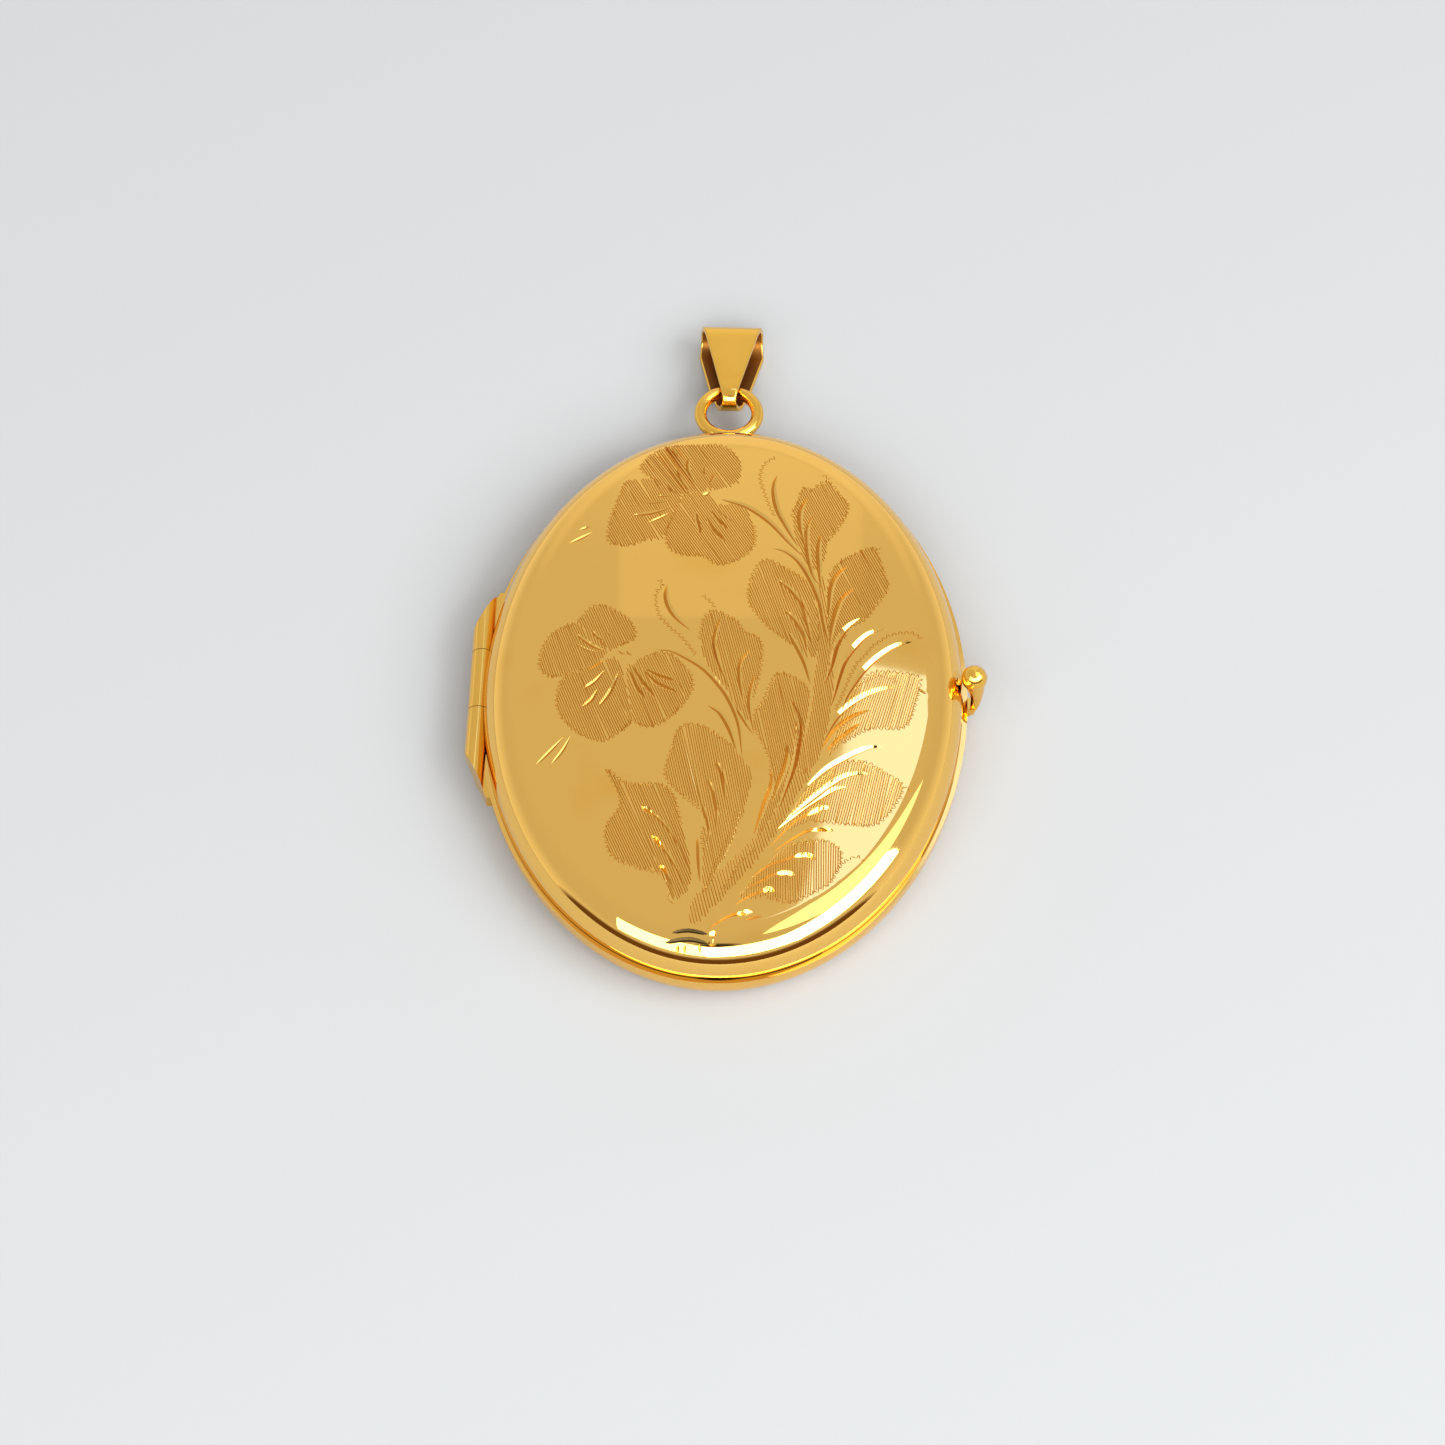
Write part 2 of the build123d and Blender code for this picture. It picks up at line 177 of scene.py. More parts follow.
def outline_at(turn, inset=0.0):
    """Points on the cover's oval at the given turns, moved inwards by inset."""
    x, y = HALF_X * np.cos(turn), HALF_Y * np.sin(turn)
    normal = np.stack([HALF_Y * np.cos(turn), HALF_X * np.sin(turn)], -1)
    normal /= np.linalg.norm(normal, axis=-1, keepdims=True)
    return np.stack([x, y], -1) - normal * inset


def nearest_edge(x, y):
    """How far points lie inside the oval, the nearest edge points, and the outward normals."""
    turn = np.arctan2(y / HALF_Y, x / HALF_X)
    for _ in range(NEWTON_STEPS):
        ex, ey = HALF_X * np.cos(turn), HALF_Y * np.sin(turn)
        dx, dy = -HALF_X * np.sin(turn), HALF_Y * np.cos(turn)
        slope = (ex - x) * dx + (ey - y) * dy
        curve = dx * dx + dy * dy - (ex - x) * ex - (ey - y) * ey
        turn = turn - slope / np.where(np.abs(curve) < 1e-6, 1e-6, curve)
    edge, inner = outline_at(turn), outline_at(turn, 1.0)
    inside = (x / HALF_X) ** 2 + (y / HALF_Y) ** 2 <= 1
    gap = np.hypot(edge[..., 0] - x, edge[..., 1] - y)
    return np.where(inside, gap, -gap), edge, edge - inner


def skin(x, y, wall=0.0):
    """The cover's surface over plan points, at a wall's depth below the outside.

    Returns the height, the height of the roll's centre line, the directions outwards and
    along the edge, how steeply the centre line runs along it, whether the point is on the
    crown, and how far it lies inside the oval.
    """
    inset, edge, normal = nearest_edge(x, y)
    sideways = np.stack([-normal[..., 1], normal[..., 0]], -1)
    spine = edge - normal * ROLL
    rise = np.sqrt((CROWN - ROLL) ** 2 - (spine ** 2).sum(-1))
    lean_out = (spine * normal).sum(-1) / (CROWN - ROLL)
    lean_side = (spine * sideways).sum(-1) / rise
    centre = TOP_Z - CROWN + rise
    crown = TOP_Z - CROWN + np.sqrt((CROWN - wall) ** 2 - x * x - y * y)
    reach = np.clip(ROLL - inset, 0, ROLL - wall)
    rolled = centre + np.sqrt((ROLL - wall) ** 2 - reach ** 2)
    on_crown = ROLL - inset <= (ROLL - wall) * lean_out
    return np.where(on_crown, crown, rolled), centre, normal, sideways, lean_side, on_crown, inset


def skin_normal(points):
    """The outside's normals at points near it."""
    x, y, z = points.T
    _, centre, normal, sideways, lean_side, on_crown, inset = skin(x, y)
    crown = points - np.array([0, 0, TOP_Z - CROWN])
    crown_length = np.linalg.norm(crown, axis=1)
    across, up = ROLL - inset, np.maximum(z - centre, 0)
    roll_length = np.maximum(np.hypot(across, up), 1e-9)
    flat = normal * (across / roll_length)[:, None]
    flat += sideways * (lean_side * up / roll_length)[:, None]
    roll = np.column_stack([flat, up / roll_length])
    roll /= np.linalg.norm(roll, axis=1, keepdims=True)
    return np.where(on_crown[:, None], crown / crown_length[:, None], roll)


# ---- the engraver's cuts ------------------------------------------------------------------
def spline(points, spacing=0.35, closed=False):
    """A smooth curve through the points, sampled about every spacing millimetres."""
    points = np.array(points, float)
    if len(points) == 2:
        return points[:1] + np.linspace(0, 1, 4)[:, None] * (points[1:] - points[:1])
    ends = (points[-1:], points[:2]) if closed else (points[:1], points[-1:])
    p = np.concatenate([ends[0], points, ends[1]])
    if not closed:
        p[0], p[-1] = 2 * points[0] - points[1], 2 * points[-1] - points[-2]
    out = []
    for a, b, c, d in zip(p, p[1:], p[2:], p[3:]):
        for t in np.linspace(0, 1, max(2, int(np.linalg.norm(c - b) / spacing)), endpoint=False):
            out.append(0.5 * (2 * b + (c - a) * t + (2 * a - 5 * b + 4 * c - d) * t * t
                              + (3 * b - a - 3 * c + d) * t ** 3))
    if not closed:
        out.append(points[-1])
    return np.array(out)


HATCH_PITCH, HATCH_WIDTH, HATCH_DEPTH = 0.17, 0.095, 0.034
HATCH_TAPER, SHORTEST_HATCH = 0.1, 0.4        # a line's pointed end, and its least length
HATCH_OVERRUN, HATCH_SHORTFALL = 0.22, 0.12   # how far its ends miss the outline, at most
PASS_LINES, PASS_LEAN = 6, 0.04               # lines cut in one pass, and a pass's slant
WRIGGLE_STEP, WRIGGLE_SWING = 0.20, 0.20      # along the line, and to each side of it
WRIGGLE_WIDTH, WRIGGLE_DEPTH = 0.09, 0.014
STEEP_SIDE, FLAT_SIDE = 0.42, 0.58            # a stroke's width on each side of its valley
SCOOP_WIDTH = 0.46
BRIGHT, MATT_SOFT_SHADE, SHADED, DARK_REFLECTION = range(4)         # the cover's faces: plain polished gold, rougher gold with painted soft shade, painted shade, and a painted dark reflection


class Engraving:
    """Every groove: plan points with depths, the edges between them, and straight stretches."""

    def __init__(self):
        self.rng = np.random.default_rng(7)
        self.points, self.depths, self.edges, self.stretches = [], [], [], []

    def groove(self, path, left, right, depth, left_finish_and_shade, right_finish_and_shade):
        """One V groove: the valley runs along path; the widths and depth change along it. Each wall's colour is
        given, from plain gold and the painted shade and reflection colours.
        """
        along = np.gradient(path, axis=0)
        along /= np.linalg.norm(along, axis=1, keepdims=True) + 1e-12
        sideways = np.stack([-along[:, 1], along[:, 0]], 1)
        valley = list(range(len(self.points), len(self.points) + len(path)))
        self.points.extend(path)
        self.depths.extend(depth)
        self.edges.extend(zip(valley, valley[1:]))
        for width, side in ((left, 1), (right, -1)):
            chain = [valley[0]]
            for i in range(1, len(path) - 1):
                chain.append(len(self.points))
                self.points.append(path[i] + side * width[i] * sideways[i])
                self.depths.append(0.0)
            chain.append(valley[-1])
            self.edges.extend(zip(chain, chain[1:]))
        for i in range(len(path) - 1):
            self.stretches.append((*path[i], *path[i + 1], left[i], left[i + 1],
                                   right[i], right[i + 1], depth[i], depth[i + 1],
                                   left_finish_and_shade, right_finish_and_shade))

    def hatch(self, outline, angle, pitch=HATCH_PITCH):
        """Fills an outline with the liner's parallel cuts, in passes that don't quite match."""
        turn = math.radians(angle)
        u = np.array([math.cos(turn), math.sin(turn)])
        v = np.array([-math.sin(turn), math.cos(turn)])
        around = outline @ v
        lean = 0.0
        for count, row in enumerate(np.arange(around.min() + pitch / 2, around.max(), pitch)):
            if count % PASS_LINES == 0:
                lean = self.rng.uniform(-PASS_LEAN, PASS_LEAN)
            level = around - row
            crossings = []
            for i in range(len(outline)):
                j = (i + 1) % len(outline)
                if (level[i] < 0) != (level[j] < 0):
                    share = level[i] / (level[i] - level[j])
                    crossings.append(float((outline[i] + share * (outline[j] - outline[i])) @ u))
            crossings.sort()
            for start, end in zip(crossings[::2], crossings[1::2]):
                start += self.rng.uniform(-HATCH_OVERRUN, HATCH_SHORTFALL)
                end += self.rng.uniform(-HATCH_SHORTFALL, HATCH_OVERRUN)
                if end - start < SHORTEST_HATCH:
                    continue
                middle = (start + end) / 2
                steps = np.array([start, start + HATCH_TAPER, end - HATCH_TAPER, end])
                path = steps[:, None] * u + (row + lean * (steps - middle))[:, None] * v
                shape = np.array([0, 1, 1, 0])
                wide = shape * HATCH_WIDTH / 2
                # one wall of each hatch line is rougher gold with painted soft shade, the other painted shade
                self.groove(path, wide, wide, shape * HATCH_DEPTH, MATT_SOFT_SHADE, SHADED)

    def stroke(self, points, width, slope, left_finish_and_shade, right_finish_and_shade, share=1.0):
        """A cut that swells and tapers, steep on its left, along the first share of a curve.

        Its depth is slope times its width.
        """
        path = spline(points) if share == 1 else spline(points, 0.12)
        path = path[:max(5, round(share * len(path)))]
        shape = np.sin(math.pi * np.linspace(0, 1, len(path)) ** 0.75).clip(0) ** 0.7
        shape[-1] = 0
        self.groove(path, width * STEEP_SIDE * shape, width * FLAT_SIDE * shape,
                    width * slope * shape, left_finish_and_shade, right_finish_and_shade)

    def scoop(self, points, slope, share=1.0):
        """A short bright gouge along the first share of a curve."""
        self.stroke(points, SCOOP_WIDTH, slope, BRIGHT, BRIGHT, share)

    def wriggle(self, points, swing=WRIGGLE_SWING, finish_and_shade=SHADED):
        """A line walked from side to side with a narrow graver; its walls are painted shade unless another colour
        is given.
        """
        path = spline(points, WRIGGLE_STEP)
        along = np.gradient(path, axis=0)
        along /= np.linalg.norm(along, axis=1, keepdims=True)
        side = np.where(np.arange(len(path)) % 2, swing, -swing)
        side = side * self.rng.uniform(0.8, 1.2, len(path))
        path = path + np.stack([-along[:, 1], along[:, 0]], 1) * side[:, None]
        shape = np.array([0, 1, 0])
        wide = shape * WRIGGLE_WIDTH / 2
        for a, b in zip(path, path[1:]):
            self.groove(np.array([a, (a + b) / 2, b]), wide, wide, shape * WRIGGLE_DEPTH,
                        finish_and_shade, finish_and_shade)

    def depth_under(self, plan):
        """The depth of the cuts at plan points, and the colour of the deepest cut's wall, from plain gold and the
        painted shade and reflection colours.
        """
        depths, finish_and_shade = np.zeros(len(plan)), np.zeros(len(plan), int)
        order = np.argsort(plan[:, 0])
        sorted_x = plan[order, 0]
        for ax, ay, bx, by, la, lb, ra, rb, da, db, left_finish_and_shade, right_finish_and_shade in self.stretches:
            widest = max(la, lb, ra, rb)
            near = order[np.searchsorted(sorted_x, min(ax, bx) - widest):
                         np.searchsorted(sorted_x, max(ax, bx) + widest)]
            if not len(near):
                continue
            length = math.hypot(bx - ax, by - ay)
            ux, uy = (bx - ax) / length, (by - ay) / length
            rx, ry = plan[near, 0] - ax, plan[near, 1] - ay
            t, side = (rx * ux + ry * uy) / length, ry * ux - rx * uy
            width = np.where(side > 0, la + t * (lb - la), ra + t * (rb - ra))
            fill = (da + t * (db - da)) * (1 - np.abs(side) / np.maximum(width, 1e-6))
            fill = np.where((t >= 0) & (t <= 1) & (width > 1e-6), fill, 0)
            deeper = fill > depths[near]
            depths[near] = np.where(deeper, fill, depths[near])
            wall = np.where(side > 0, left_finish_and_shade, right_finish_and_shade)
            finish_and_shade[near] = np.where(deeper, wall, finish_and_shade[near])
        return depths, finish_and_shade


# Each petal and leaf: its outline, with the outer edge first, how many points that edge has,
# and the direction of its hatching in degrees.
PETALS = [
    ([(-7.2, 18.0), (-8.0, 17.6), (-8.5, 15.7), (-9.0, 13.5), (-8.9, 12.0), (-7.5, 11.7),
      (-6.2, 12.2), (-5.0, 12.5), (-4.3, 14.3), (-3.8, 15.8), (-3.9, 16.6), (-5.2, 18.0)],
     7, 118),
    ([(-5.8, 18.1), (-6.8, 19.1), (-6.2, 20.4), (-5.0, 21.4), (-3.0, 21.5), (-1.1, 21.6),
      (0.0, 21.0), (0.7, 19.8), (0.5, 17.9), (-1.0, 17.4), (-2.9, 16.9), (-3.8, 16.5),
      (-4.8, 17.2)], 8, 122),
    ([(-4.1, 14.9), (-4.7, 13.3), (-4.7, 12.4), (-4.3, 11.4), (-3.4, 10.9), (-1.9, 10.8),
      (-0.9, 10.1), (0.3, 10.3), (1.6, 11.3), (2.0, 12.6), (1.8, 13.9), (1.3, 15.3),
      (0.3, 15.8), (-0.9, 15.8), (-1.4, 16.6), (-2.6, 16.9), (-3.6, 16.5), (-4.0, 15.6)],
     11, 121),
    ([(-10.9, 4.4), (-9.9, 5.8), (-8.9, 5.9), (-7.2, 4.8), (-6.6, 3.2), (-7.7, 2.3),
      (-8.4, 1.9), (-10.0, 3.6)], 6, 114),
    ([(-10.8, 4.3), (-12.4, 3.6), (-13.3, 2.2), (-13.5, 0.4), (-12.8, -0.5), (-11.4, -0.3),
      (-8.6, 1.6)], 6, 110),
    ([(-11.0, -0.2), (-11.9, -1.1), (-12.0, -3.3), (-10.8, -5.2), (-8.8, -6.2), (-7.4, -5.4),
      (-6.5, -4.3), (-7.0, -1.7), (-7.6, 0.6), (-8.6, 1.2)], 7, 112),
    ([(-5.9, 1.2), (-4.4, 1.8), (-3.0, 0.7), (-2.2, -0.9), (-2.8, -2.7), (-4.3, -4.5),
      (-5.6, -4.9), (-6.4, -4.4), (-6.9, -1.8), (-7.1, 0.3)], 8, 112),
]
LEAVES = [
    ([(4.7, 14.7), (5.5, 17.6), (6.1, 17.4), (7.2, 18.3), (8.2, 17.1), (8.9, 15.9),
      (8.3, 14.0), (7.5, 12.6), (7.1, 10.2), (6.1, 10.1), (5.2, 12.0)], 8, 116),
    ([(7.8, 9.9), (9.3, 11.3), (10.9, 11.9), (11.7, 9.4), (11.9, 8.2), (10.5, 5.6),
      (9.4, 4.7), (7.8, 1.9), (7.5, 6.0)], 7, 114),
    ([(5.9, 8.7), (4.7, 9.6), (2.6, 10.5), (1.6, 7.2), (2.9, 4.7), (4.4, 3.3), (5.4, 2.6),
      (6.6, 1.6), (6.9, 4.9), (6.5, 7.0)], 7, 110),
    ([(-1.8, 3.0), (-1.6, 5.0), (-0.9, 5.7), (0.7, 4.9), (1.5, 3.8), (2.6, 3.1), (2.7, 0.6),
      (2.2, -2.1), (1.9, -4.3), (0.6, -2.2), (-1.2, 0.9)], 8, 105),
    ([(0.9, -6.6), (0.3, -6.0), (-1.5, -4.7), (-3.0, -4.9), (-3.6, -7.0), (-3.9, -9.2),
      (-2.6, -10.8), (-1.1, -12.1), (-1.0, -14.3), (-0.9, -18.9), (-0.4, -18.1), (0.8, -15.3),
      (1.7, -12.7), (2.3, -9.2), (1.8, -7.8)], 8, 102),
    ([(-3.9, -17.5), (-5.9, -16.9), (-7.5, -16.0), (-8.0, -13.8), (-7.0, -11.4), (-8.1, -8.8),
      (-6.6, -9.9), (-4.4, -9.9), (-3.3, -10.8), (-2.6, -13.4), (-1.8, -16.3), (-2.0, -18.8),
      (-3.0, -19.5)], 10, 112),
    ([(3.7, -9.0), (3.6, -7.4), (2.3, -4.3), (3.0, -2.3), (4.0, 0.1), (5.6, -0.5), (6.3, -1.5),
      (6.1, -5.0), (5.2, -8.3), (4.2, -11.6), (2.8, -14.0)], 7, 104),
    ([(9.3, -1.8), (10.7, 0.3), (11.9, 0.6), (14.2, 0.3), (14.4, -0.6), (13.7, -3.5),
      (13.0, -4.4), (10.7, -4.6), (8.8, -5.9), (7.8, -7.0), (8.4, -4.4)], 9, 76),
    ([(8.9, -7.5), (10.5, -7.5), (12.0, -8.4), (13.2, -9.4), (12.6, -11.3), (11.3, -12.8),
      (9.5, -12.9), (6.8, -12.7), (4.6, -13.8), (5.8, -10.9), (7.2, -9.1)], 8, 78),
    ([(5.2, -14.9), (6.7, -14.4), (8.1, -14.5), (8.9, -15.6), (8.2, -17.7), (7.0, -18.7),
      (5.3, -19.6), (3.6, -19.2), (1.8, -19.4), (2.9, -17.4)], 8, 90),
]
TRUNK_DIRECTION, FOOT_DIRECTION = 100, 104    # of their hatching, in degrees
FOOT_PITCH = 1.3 * HATCH_PITCH
TRUNK = [(7.0, 9.8), (7.5, 6.0), (7.9, 1.9), (8.0, -2.1), (7.5, -5.5), (6.6, -8.3), (5.4, -8.2),
         (6.3, -4.4), (6.6, -0.7), (6.8, 3.0), (6.7, 7.0)]
STEM_FOOT = [(6.6, -8.4), (5.2, -11.6), (3.6, -14.8), (2.1, -17.2), (0.0, -20.0), (-1.2, -21.4),
             (-1.8, -21.3), (-1.4, -19.3), (0.6, -16.8), (2.7, -14.2), (4.4, -11.4), (5.4, -8.4)]
# Cuts by width in millimetres, each drawn from its outer end to its root.
CUTS = {
    0.26: [
        [(-5.6, 16.5), (-4.3, 16.6)], [(-6.5, 15.8), (-5.5, 15.9), (-4.5, 16.1)],
        [(-6.1, 13.9), (-5.2, 14.4), (-4.5, 14.9)], [(-2.0, 19.6), (-1.9, 18.3)],
        [(-1.1, 19.0), (-1.6, 17.6)], [(-0.9, 15.3), (0.4, 14.1)],
        [(-11.2, 13.1), (-10.3, 13.5)], [(-11.9, 11.8), (-11.1, 12.3), (-10.2, 12.9)],
        [(-8.8, 3.7), (-8.2, 3.1)], [(-8.7, 1.0), (-10.0, -0.1)], [(-7.8, 1.9), (-7.2, 1.5)],
        [(-7.2, 1.9), (-6.7, 1.4)], [(-11.0, 2.5), (-10.2, 2.0), (-9.1, 1.6)],
        [(14.3, -0.8), (14.9, -1.3)], [(3.4, -20.8), (2.1, -21.2)],
        [(-12.2, -8.3), (-11.5, -7.2), (-10.9, -5.8)],
        [(-13.3, -8.4), (-12.3, -7.1), (-11.4, -5.9)],
        [(-2.5, -23.0), (-2.5, -23.5)], [(-2.0, -23.0), (-2.0, -23.5)],
        [(-1.0, -23.0), (-0.9, -23.5)],
    ],
    0.364: [
        [(-7.3, 14.6), (-5.8, 14.9), (-4.2, 15.5)], [(-3.2, 20.4), (-3.2, 19.1), (-2.5, 17.5)],
        [(-4.1, 19.1), (-3.5, 17.8), (-2.8, 16.8)], [(-2.1, 12.9), (-2.4, 14.0), (-2.6, 15.2)],
        [(-0.2, 12.2), (-1.2, 13.4), (-1.8, 14.8)], [(0.0, 13.4), (-0.9, 14.3), (-1.4, 15.2)],
        [(-2.1, 16.6), (-1.5, 17.0)], [(-11.0, 3.4), (-9.8, 2.4), (-8.5, 1.7)],
        [(-9.8, 3.7), (-9.3, 3.1), (-8.7, 2.8)], [(-10.2, -1.6), (-9.4, -0.9), (-8.7, 0.1)],
        [(-10.3, -3.3), (-9.6, -2.6), (-9.1, -1.5)], [(-9.1, -3.3), (-8.3, -1.9), (-7.6, 0.1)],
        [(-5.7, -2.4), (-6.4, -1.3), (-7.0, 0.3)], [(-4.9, -2.3), (-5.9, -1.0), (-6.7, 0.5)],
        [(-3.3, -1.8), (-4.9, -1.0), (-5.9, 0.2)], [(-3.4, -0.8), (-4.7, -0.4), (-5.8, 0.3)],
        [(0.8, -2.5), (2.4, -5.5)], [(-1.4, -14.4), (-1.3, -15.1), (-1.2, -16.6), (-1.1, -18.2)],
        [(-0.9, -9.2), (-0.4, -10.4), (-0.1, -11.9), (-0.1, -13.5)],
        [(-1.2, -11.4), (-0.8, -12.7), (-0.6, -13.9), (-0.7, -14.7)],
        [(-0.3, 5.3), (-0.7, 2.5), (0.5, -1.5)], [(1.9, 2.2), (1.2, 0.6), (1.6, -3.0)],
        [(2.3, 0.0), (2.0, -2.5), (2.4, -5.3)],
    ],
    0.468: [
        [(-0.7, 16.3), (0.8, 15.9), (2.0, 15.2), (3.3, 14.0), (4.5, 12.4), (5.7, 10.9)],
        [(-5.0, 2.0), (-4.0, 2.0), (-2.8, 1.4), (-1.4, 0.4), (-0.1, -1.2), (0.7, -2.7),
         (1.3, -4.6), (1.6, -7.4)],
        [(-1.1, -2.9), (-0.2, -3.4), (0.6, -4.8), (1.2, -6.9)],
        [(-4.4, 8.0), (-4.4, 6.8), (-3.8, 5.3), (-2.5, 3.8)],
        [(5.9, 16.6), (5.4, 15.5), (5.4, 13.9), (5.8, 11.8)],
        [(6.3, 14.9), (5.9, 13.6), (6.0, 11.4), (6.4, 9.3), (6.9, 8.3)],
        [(7.0, 13.3), (6.8, 12.0), (6.9, 9.8), (7.0, 8.0)],
        [(3.6, 8.9), (4.7, 8.0), (5.6, 6.7), (6.0, 5.2), (6.5, 2.6)],
        [(4.3, 6.0), (5.2, 5.1), (5.9, 3.6), (6.1, 2.1)],
        [(4.6, 4.1), (5.4, 2.6), (6.0, 1.1), (6.4, -0.8)],
        [(9.0, 10.3), (8.2, 9.3), (7.8, 8.0), (7.6, 4.9)],
        [(9.5, 8.2), (8.6, 7.1), (8.1, 5.4), (7.8, 3.4), (7.8, 2.0)],
        [(3.5, 18.8), (3.3, 17.5), (3.6, 15.6), (4.4, 13.7), (5.3, 11.8)],
        [(4.7, -5.9), (4.9, -6.9), (4.7, -8.3), (4.2, -9.9), (3.8, -11.4)],
        [(3.8, -8.4), (3.8, -9.8), (3.4, -11.2), (3.0, -12.7), (2.6, -14.2)],
        [(-0.3, -7.7), (0.2, -8.8), (0.4, -10.1), (0.5, -11.1)],
        [(10.8, -2.9), (9.9, -3.3), (8.9, -4.1), (8.2, -4.9), (7.2, -6.7)],
        [(10.1, -4.1), (9.2, -5.0), (8.3, -5.9), (7.6, -6.8)],
        [(3.3, 11.7), (4.2, 11.5), (5.2, 10.7), (6.1, 9.2), (6.9, 7.0), (7.3, 4.9), (7.8, 2.3)],
    ],
}
# Long cuts with a bright upper wall and a lower wall painted shaded, drawn the same way.
LONG_CUTS = [
    [(9.9, 5.4), (9.0, 4.5), (8.3, 3.0), (7.9, 1.0), (7.4, -0.8)],
    [(11.7, 4.5), (10.6, 4.0), (9.7, 2.9), (8.9, 1.5), (8.5, 0.0), (8.2, -1.5), (7.9, -2.8)],
    [(13.8, 3.4), (12.6, 3.0), (11.4, 2.0), (10.4, 0.8), (9.7, -0.4), (9.1, -1.7), (8.7, -3.1)],
    [(12.7, -0.7), (11.3, -1.1), (10.1, -1.8), (9.0, -2.8), (8.3, -3.8), (7.4, -5.9)],
    [(11.7, -6.1), (10.8, -6.2), (9.8, -6.7), (8.6, -7.5), (7.7, -8.2), (6.7, -9.3),
     (6.0, -10.3)],
    [(10.8, -8.5), (9.9, -8.5), (9.0, -8.8), (8.2, -9.4), (7.2, -10.3), (4.9, -12.6)],
    [(9.2, -9.7), (8.4, -9.9), (7.5, -10.5), (6.5, -11.3), (5.6, -12.2), (4.3, -13.5)],
    [(5.0, -2.2), (5.5, -3.4), (5.7, -4.7), (5.6, -6.3), (5.3, -8.3), (4.3, -11.9)],
]
# Thin cuts that open into a short bright scoop at the outer end.
TIPPED_CUTS = [
    [(8.0, -11.5), (7.3, -11.7), (6.3, -12.3), (5.4, -13.0), (3.8, -15.0)],
    [(8.3, -13.5), (7.5, -13.4), (6.5, -13.6), (5.6, -14.2), (4.7, -14.9), (4.0, -15.5)],
    [(7.1, -16.0), (6.6, -15.7), (5.8, -15.7), (5.0, -16.1), (3.8, -16.6), (2.5, -17.7)],
    [(5.6, -17.3), (4.9, -17.2), (4.2, -17.3), (3.3, -17.9), (2.1, -18.6)],
    [(4.2, -18.7), (3.7, -18.6), (3.1, -18.9), (2.3, -19.3), (1.4, -20.0)],
    [(2.7, -20.5), (2.0, -20.6), (1.3, -20.8), (0.5, -21.3), (-0.5, -22.0)],
    [(-5.5, -11.8), (-4.8, -12.3), (-3.8, -13.3), (-3.1, -14.4), (-2.8, -15.2)],
    [(-4.7, -14.3), (-4.1, -14.9), (-3.4, -15.9), (-2.7, -17.2), (-2.1, -18.6)],
    [(-4.1, -16.8), (-3.6, -17.2), (-3.0, -18.5), (-2.6, -19.7)],
]
# The two bands under the stem, their walls painted near black for the dark reflection of the camera; each ends on
# the right in a bright scoop.
BAND_SIDE, BAND_DEPTH = 0.16, 0.07
BANDS = [[(-0.4, -22.35), (-1.8, -22.1), (-3.0, -22.25)],
         [(-0.4, -22.95), (-1.8, -22.7), (-3.5, -22.85)]]
DOT_SWING = 0.05
DOTTED_LINES = [
    [(1.6, -11.9), (1.3, -13.6), (0.7, -15.6), (-0.8, -18.8)], [(-0.7, -13.8), (-0.7, -15.4)],
    [(-2.2, -15.1), (-1.9, -16.4)], [(-3.7, -17.4), (-3.3, -18.8), (-3.1, -20.0)],
]
WRIGGLES = [
    [(-5.1, 8.5), (-4.7, 8.0), (-5.2, 7.2), (-5.0, 5.5), (-4.4, 4.5), (-3.0, 3.0), (-2.1, 1.6)],
    [(3.3, 20.6), (2.5, 19.8), (2.2, 18.6), (2.5, 17.3), (3.0, 15.7), (3.4, 14.8)],
    [(14.5, 3.7), (13.8, 4.2), (12.9, 4.2), (12.0, 3.8), (11.0, 3.0), (10.3, 2.0), (9.7, 1.1),
     (9.0, -0.8), (8.3, -3.0)],
    [(-1.8, 7.1), (-1.3, 6.7), (-0.8, 6.0)], [(6.9, 18.9), (7.5, 18.5)],
    [(10.7, 11.9), (11.4, 12.0)], [(13.3, -9.5), (13.9, -9.9)],
    [(12.7, -0.3), (11.9, 0.2), (11.0, 0.1), (10.3, -0.5)],
    [(10.5, -16.0), (10.1, -15.6), (9.2, -16.0), (8.5, -17.0)],
    [(1.3, -12.1), (0.9, -13.8), (-0.1, -16.7), (-0.8, -18.9)],
    [(2.7, -15.2), (1.7, -16.5), (0.3, -19.1)], [(-1.0, -13.5), (-1.1, -14.6), (-0.9, -15.6)],
    [(-3.4, -18.2), (-3.1, -20.1)],
]


